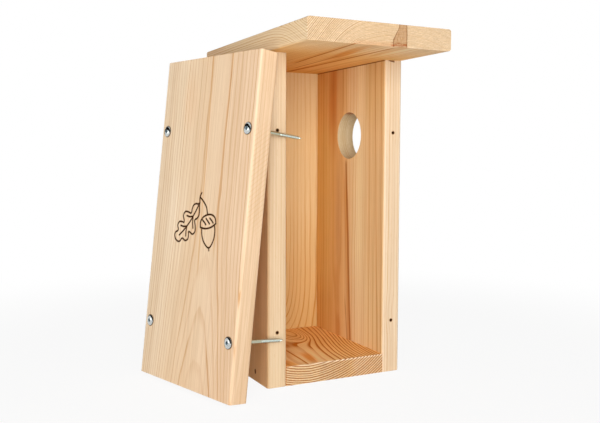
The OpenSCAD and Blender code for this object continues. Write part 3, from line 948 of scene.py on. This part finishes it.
def screw_blank():
    """Head and shank, pointing down -Z from under the head at z = 0: an outline turned about Z."""
    dome_r = (HEAD_R ** 2 + DOME_H ** 2) / (2 * DOME_H)
    point = POINT_LEN - SCREW_LEN
    outline = [(0, -SCREW_LEN), (CORE_R * 0.55, point - POINT_LEN * 0.5), (CORE_R, point),
               (CORE_R, -SHANK_LEN - 0.6 * MM), (SHANK_R, -SHANK_LEN), (SHANK_R, 0),
               (HEAD_R - 0.3 * MM, 0), (HEAD_R, 0.2 * MM), (HEAD_R, RIM_H - 0.15 * MM)]
    for i in range(DOME_STEPS + 1):
        r = (HEAD_R - 0.12 * MM) * (1 - i / DOME_STEPS)
        outline.append((r, RIM_H + DOME_H - dome_r + math.sqrt(dome_r ** 2 - r ** 2)))
    bm = bmesh.new()
    verts = [bm.verts.new((r, 0, z)) for r, z in outline]
    edges = [bm.edges.new(pair) for pair in zip(verts, verts[1:])]
    bmesh.ops.spin(bm, geom=[*verts, *edges], cent=(0, 0, 0), axis=(0, 0, 1), angle=2 * math.pi,
                   steps=TURNED_STEPS, use_merge=True)
    bmesh.ops.remove_doubles(bm, verts=bm.verts, dist=0.001 * MM)
    bmesh.ops.recalc_face_normals(bm, faces=bm.faces)
    return bm


def thread_ridge():
    """The helical thread, from the shank to the point, where it narrows."""
    turns = (SCREW_LEN - SHANK_LEN - 1.0 * MM) / PITCH
    top = -SHANK_LEN
    inside = CORE_R - 0.25 * MM
    corners = [(inside, top + 0.45 * MM), (THREAD_R, top + 0.06 * MM), (THREAD_R, top - 0.06 * MM),
               (inside, top - 0.45 * MM)]
    bm = bmesh.new()
    ring = bm.faces.new([bm.verts.new((r, 0, z)) for r, z in corners])
    steps = round(turns * THREAD_STEPS)
    bmesh.ops.spin(bm, geom=[ring, *ring.edges, *ring.verts], cent=(0, 0, 0), axis=(0, 0, 1),
                   dvec=(0, 0, -PITCH * turns / steps), angle=2 * math.pi * turns, steps=steps)
    for v in bm.verts:
        if v.co.z < POINT_LEN - SCREW_LEN:
            share = max(0.0, (v.co.z + SCREW_LEN) / POINT_LEN)
            v.co.x *= share
            v.co.y *= share
    bmesh.ops.recalc_face_normals(bm, faces=bm.faces)
    return bm


def drive_cutter():
    """A six-lobed bar, which cuts the drive into a screw's head."""
    bm = bmesh.new()
    bmesh.ops.create_circle(bm, cap_ends=True, segments=DRIVE_STEPS, radius=1.0)
    for v in bm.verts:
        angle = math.atan2(v.co.y, v.co.x)
        v.co *= DRIVE_R + DRIVE_LOBE * math.cos(6 * angle)
    made = bmesh.ops.extrude_face_region(bm, geom=bm.faces[:])
    moved = [v for v in made["geom"] if isinstance(v, bmesh.types.BMVert)]
    bmesh.ops.translate(bm, vec=(0, 0, CUTTER_H), verts=moved)
    bmesh.ops.translate(bm, vec=(0, 0, RIM_H + DOME_H - DRIVE_DEPTH), verts=bm.verts)
    bmesh.ops.recalc_face_normals(bm, faces=bm.faces)
    return bm


def subtract(bm, cutter):
    """Cuts one solid out of another."""
    target = add_object("target", add_mesh("target", bm))
    tool = add_object("cutter", add_mesh("cutter", cutter))
    change = target.modifiers.new("cut", "BOOLEAN")
    change.operation = "DIFFERENCE"
    change.solver = "EXACT"
    change.object = tool
    result = bmesh.new()
    result.from_object(target, bpy.context.evaluated_depsgraph_get())
    bpy.data.objects.remove(target)
    bpy.data.objects.remove(tool)
    return result


def screw_seat(node):
    """The point on a front screw's axis where its head sits on the board."""
    space = Board(node, ACROSS_FRONT, INTO_FRONT)
    return space.matrix @ Vector((space.size.x / 2, RIM_H + DOME_H, space.size.z / 2))


def make_screws(material):
    bm = subtract(screw_blank(), drive_cutter())
    ridge = add_mesh("screw_thread", thread_ridge())
    bm.from_mesh(ridge)
    bpy.data.meshes.remove(ridge)
    from_axis = bm.verts.layers.float.new("from_axis")
    above_seat = bm.verts.layers.float.new("above_seat")
    for v in bm.verts:
        v[from_axis] = math.hypot(v.co.x, v.co.y)
        v[above_seat] = v.co.z
    turn = Matrix((ACROSS_FRONT, OUT.cross(ACROSS_FRONT), OUT)).transposed().to_4x4()
    for row in ("upper", "lower"):
        for side in ("left", "right"):
            node = f"front_screw_{row}_{side}"
            copy = bm.copy()
            bmesh.ops.transform(copy, matrix=Matrix.Translation(screw_seat(node)) @ turn, verts=copy.verts)
            piece_from(copy, node, f"{row}_{side}_screw", material)
    bm.free()


def make_nails(material):
    for name, node in frame["nodes"].items():
        if "nails" in name:
            node.data.materials.clear()
            node.data.materials.append(material)


def studio_floor():
    """A plain white floor that keeps the object's shadow and fades to pure white."""
    bm = bmesh.new()
    bmesh.ops.create_grid(bm, x_segments=1, y_segments=1, size=STUDIO_HALF)
    bmesh.ops.translate(bm, vec=(0, 0, -STUDIO_DROP), verts=bm.verts)
    mesh = add_mesh("studio_floor", bm)
    floor = add_object("studio_floor", mesh)
    g = Surface("studio_white")
    g.tree.nodes.remove(g.shader)
    paper = g.node("BsdfDiffuse")
    g.put_all(paper, color=STUDIO_WHITE)
    glow = g.node("Emission")
    away = g.vector("LENGTH", g.node("TexCoord").outputs["Object"])
    rays = g.node("LightPath").outputs
    seen = g.either(rays["Is Camera Ray"], rays["Is Glossy Ray"], rays["Is Transmission Ray"])
    mix = g.node("MixShader")
    parts = (g.times(g.smooth(away, *STUDIO_FADE, *STUDIO_GLOW), seen), paper.outputs[0], glow.outputs[0])
    for socket, value in zip(mix.inputs, parts):
        g.put(socket, value)
    g.put(g.tree.nodes["Material Output"].inputs["Surface"], mix.outputs[0])
    mesh.materials.append(g.material)


def front_light():
    """A broad soft light in front of the house."""
    lamp = bpy.data.lights.new("front_light", "AREA")
    lamp.shape = "SQUARE"
    lamp.size = LIGHT_SIZE
    lamp.energy = LIGHT_POWER
    holder = add_object("front_light", lamp)
    holder.location = LIGHT_AT
    holder.rotation_mode = "QUATERNION"
    holder.rotation_quaternion = (LIGHT_AIM - LIGHT_AT).to_track_quat("-Z", "Y")


def white_room():
    """Even white light from all round, pure white to the camera, with a dark gap that only gloss mirrors."""
    world = bpy.data.worlds.new("white_room")
    bpy.context.scene.world = world
    world.use_nodes = True
    g = Graph(world.node_tree)
    rays = g.node("LightPath").outputs
    towards = g.node("TexCoord").outputs["Generated"]

    def degrees_from(azimuth, elevation):
        turn, lift = math.radians(azimuth), math.radians(elevation)
        centre = (math.cos(turn) * math.cos(lift), math.sin(turn) * math.cos(lift), math.sin(lift))
        return g.math("DEGREES", g.math("ARCCOSINE", g.vector("DOT_PRODUCT", towards, centre)))

    off_ring = g.math("ABSOLUTE", g.minus(degrees_from(*GAP_CENTRE), GAP_RADIUS))
    bright = g.smooth(degrees_from(*BRIGHT_CENTRE), BRIGHT_CORE, BRIGHT_REACH, BRIGHT_LIGHT - 1, 0.0)
    mirrored = g.plus(g.smooth(off_ring, GAP_HALF - GAP_BLUR, GAP_HALF + GAP_BLUR), bright)
    seen = g.either(rays["Is Camera Ray"], rays["Is Transmission Ray"])
    plain = g.smooth(seen, 0.0, 1.0, ROOM_LIGHT, 1.0)
    glossy = rays["Is Glossy Ray"]
    whole = g.plus(g.times(glossy, mirrored), g.times(g.minus(1.0, glossy), plain))
    g.put_all(g.tree.nodes["Background"], color=(1.0, 1.0, 1.0, 1.0), strength=whole)


def photo_camera():
    data = bpy.data.cameras.new("photo_camera")
    data.sensor_fit = "HORIZONTAL"
    data.sensor_width = SENSOR_MM
    data.lens = FOCAL_PX * SENSOR_MM / IMAGE_W
    data.clip_start = 0.01
    data.clip_end = 50
    camera = add_object("photo_camera", data)
    level = Matrix.Rotation(math.radians(90), 4, "X")
    turn = (Matrix.Rotation(-CAMERA_YAW, 4, "Z") @ Matrix.Rotation(-CAMERA_PITCH, 4, "X")
            @ Matrix.Rotation(CAMERA_ROLL, 4, "Y") @ level)
    camera.matrix_world = Matrix.Translation(CAMERA_AT) @ turn
    bpy.context.scene.camera = camera


photo_camera()
make_boards()
make_screws(zinc_steel())
make_nails(nail_steel())
studio_floor()
white_room()
front_light()
bpy.context.scene.view_settings.view_transform = "Standard"
